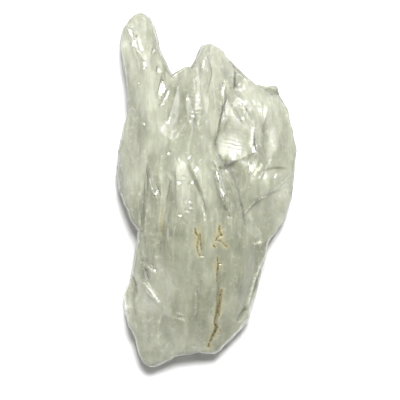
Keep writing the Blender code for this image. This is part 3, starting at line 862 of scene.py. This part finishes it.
axes = quartz.node("ShaderNodeSeparateXYZ", {}, {0: place}).outputs
along = Value(quartz, axes["Y"]) + Value(quartz, axes["X"]) * RIPPLE_SLANT + clouds * RIPPLE_BEND
ripples = (along * (2 * math.pi / RIPPLE_LENGTH)).sine() * rippled
height = grain * GRAIN_HEIGHT + speckle * SPECKLE_HEIGHT + ripples * RIPPLE_HEIGHT
height = height + quartz.tilted_cells(columns, TILTED_PER_M) * (flaked * FLAKED_TILT + TILT)
bump = quartz.node(
    "ShaderNodeBump", {}, {"Strength": 1.0, "Distance": 1.0, "Height": height}
).outputs["Normal"]
print("with the bump", len(quartz.tree.nodes), "nodes")

# %% [markdown]
# Both surfaces have the index of refraction of quartz and the same bump. Fresh faces are glossy,
# while flakes, ripples and edges are rougher. The milky one scatters light for a few millimetres
# under its face, a little less of it for blue, and the clear one passes it. The tint inside is
# even, so a thick part looks greener than a thin one by itself.

# %% The milky part and the clear part
QUARTZ_IOR = 1.544
milky = quartz.node("ShaderNodeBsdfPrincipled", {}, {
    "Base Color": body,
    "Roughness": (0.13 + painted_edge_shade * 0.4 + rippled * 0.2).clamped(),
    "Specular IOR Level": 0.45,
    "IOR": QUARTZ_IOR,
    "Subsurface Weight": 1.0,
    "Subsurface Radius": (1.0, 1.0, 0.8),
    "Subsurface Scale": 2.0 * MM,
    "Normal": bump,
})
clear = quartz.node("ShaderNodeBsdfPrincipled", {}, {
    "Base Color": through,
    "Roughness": (0.11 + flaked * 0.2 + painted_edge_shade * 0.3 + rippled * 0.1).clamped(),
    "IOR": QUARTZ_IOR,
    "Transmission Weight": 1.0,
    "Normal": bump,
})
print("two surfaces with an index of", QUARTZ_IOR)

# %% How much of each, and the tint inside
CLEAR_SHARE = 0.58
clearness = CLEAR_SHARE + (clouds - 0.5) * 0.4 - (veils - 0.5) * 0.4 - flecks * 0.12 - vein * 0.4
clearness = (clearness - rust * 0.6 - stain * 0.4 - steep.between(0.5, 1.0) * 0.45).clamped()
mixed = quartz.node("ShaderNodeMixShader", {}, {
    "Fac": clearness,
    1: milky.outputs["BSDF"],
    2: clear.outputs["BSDF"],
})
tint = quartz.node("ShaderNodeVolumeAbsorption", {}, {
    "Color": (0.845, 0.86, 0.705, 1.0), "Density": 80.0,
})
quartz.node("ShaderNodeOutputMaterial", {}, {
    "Surface": mixed.outputs["Shader"], "Volume": tint.outputs["Volume"],
})
stone_mesh.materials.clear()
stone_mesh.materials.append(quartz.material)
print("quartz has", len(quartz.tree.nodes), "nodes")

# %% [markdown]
# ## Table
#
# The stone lies on a plain white matt table. The table lies a hair below the stone's lowest
# face, because two faces in one plane would flicker.

# %% Floor
FLOOR_GAP = 0.03 * MM
floor_bm = bmesh.new()
bmesh.ops.create_grid(floor_bm, x_segments=1, y_segments=1, size=12 * size.y)
bmesh.ops.translate(floor_bm, verts=floor_bm.verts, vec=(0.0, 0.0, low.z - FLOOR_GAP))
floor_mesh = bpy.data.meshes.new("floor")
floor_bm.to_mesh(floor_mesh)
floor_bm.free()
floor = bpy.data.objects.new("floor", floor_mesh)
bpy.context.scene.collection.objects.link(floor)
paper = Graph("paper")
paper_shader = paper.node("ShaderNodeBsdfPrincipled", {}, {
    "Base Color": (0.86, 0.86, 0.86, 1.0), "Roughness": 0.9, "Specular IOR Level": 0.1,
})
paper.node("ShaderNodeOutputMaterial", {}, {"Surface": paper_shader.outputs["BSDF"]})
floor_mesh.materials.append(paper.material)
print(f"the table lies at {(low.z - FLOOR_GAP) / MM:.2f} mm")

# %% [markdown]
# ## Light
#
# Glassy stone shows mostly what it reflects, so each light has one task. A sky that is bright
# above and beyond the finger's tip, and dim behind the lower end, fills the shadows and shapes
# the columns. The main lamp, high up, gives the short soft shadow, and is hidden from gloss so
# that it leaves no white spots. A wide soft panel, half-way up beyond the tip, is seen only in
# the gloss, on all faces that lean its way. The small glint lamp in its middle makes the
# brightest chips flash.

# %% Sky
SKY_DARK = 0.16
SKY_BRIGHT = 1.0
SKY_FROM = 0.5
SKY_AIM = Vector((0.0, 0.70, 0.71))
world = bpy.data.worlds.new("sky")
world.use_nodes = True
sky_nodes = world.node_tree.nodes
sky_links = world.node_tree.links
direction = sky_nodes.new("ShaderNodeTexCoord")
facing_aim = sky_nodes.new("ShaderNodeVectorMath")
facing_aim.operation = "DOT_PRODUCT"
facing_aim.inputs[1].default_value = SKY_AIM
brightness = sky_nodes.new("ShaderNodeMapRange")
brightness.inputs["From Min"].default_value = SKY_FROM
brightness.inputs["From Max"].default_value = 1.0
brightness.inputs["To Min"].default_value = SKY_DARK
brightness.inputs["To Max"].default_value = SKY_BRIGHT
sky_links.new(direction.outputs["Generated"], facing_aim.inputs[0])
sky_links.new(facing_aim.outputs["Value"], brightness.inputs["Value"])
sky_links.new(brightness.outputs["Result"], sky_nodes["Background"].inputs["Strength"])
sky_nodes["Background"].inputs["Color"].default_value = (1.0, 1.0, 1.0, 1.0)
bpy.context.scene.world = world
print(f"the sky goes from {SKY_DARK} to {SKY_BRIGHT}")

# %% Lamps
LAMP_DISTANCE = 6.0 * size.y


def lamp(name, tilt, turn, width, energy):
    """A round soft lamp, tilted from straight above towards +Y and then turned towards +X."""
    light = bpy.data.lights.new(name, "AREA")
    light.shape = "DISK"
    light.size = width
    light.energy = energy
    made = bpy.data.objects.new(name, light)
    tilt, turn = math.radians(tilt), math.radians(turn)
    out = Vector((math.sin(tilt) * math.sin(turn), math.sin(tilt) * math.cos(turn), math.cos(tilt)))
    made.location = LAMP_DISTANCE * out
    made.rotation_euler = out.to_track_quat("Z", "Y").to_euler()
    bpy.context.scene.collection.objects.link(made)
    return made


lamp("glint lamp", 46, 0, 1.2 * size.y, 0.36)
main_lamp = lamp("main lamp", 16, 13, 1.5 * size.y, 2.0)
main_lamp.visible_glossy = False
main_lamp.visible_transmission = False
panel = lamp("soft panel", 48, 0, 5.0 * size.y, 0.85)
panel.visible_diffuse = False
panel.visible_transmission = False
print("lamps:", *bpy.data.lights.keys())

# %% [markdown]
# ## Camera
#
# The camera looks straight down from six lengths away, so that the stone's height hardly bends
# its outline. The lens is worked out from the share of the picture that the stone fills at its
# widest height.

# %% Camera
FILLED = 0.888
CAMERA_HEIGHT = 6.0 * size.y
OFF_CENTRE = Vector((-0.018, -0.029)) * size.y
WIDEST_HEIGHT = 0.32 * size.z
camera = bpy.data.cameras.new("camera")
camera.sensor_fit = "HORIZONTAL"
camera.clip_start = 0.01
camera.angle = 2 * math.atan(0.5 * size.y / FILLED / (CAMERA_HEIGHT - WIDEST_HEIGHT))
camera_object = bpy.data.objects.new("camera", camera)
camera_object.location = (OFF_CENTRE.x, OFF_CENTRE.y, CAMERA_HEIGHT)
bpy.context.scene.collection.objects.link(camera_object)
bpy.context.scene.camera = camera_object
bpy.context.scene.view_settings.view_transform = "Standard"
print(f"the lens sees {math.degrees(camera.angle):.1f} degrees")
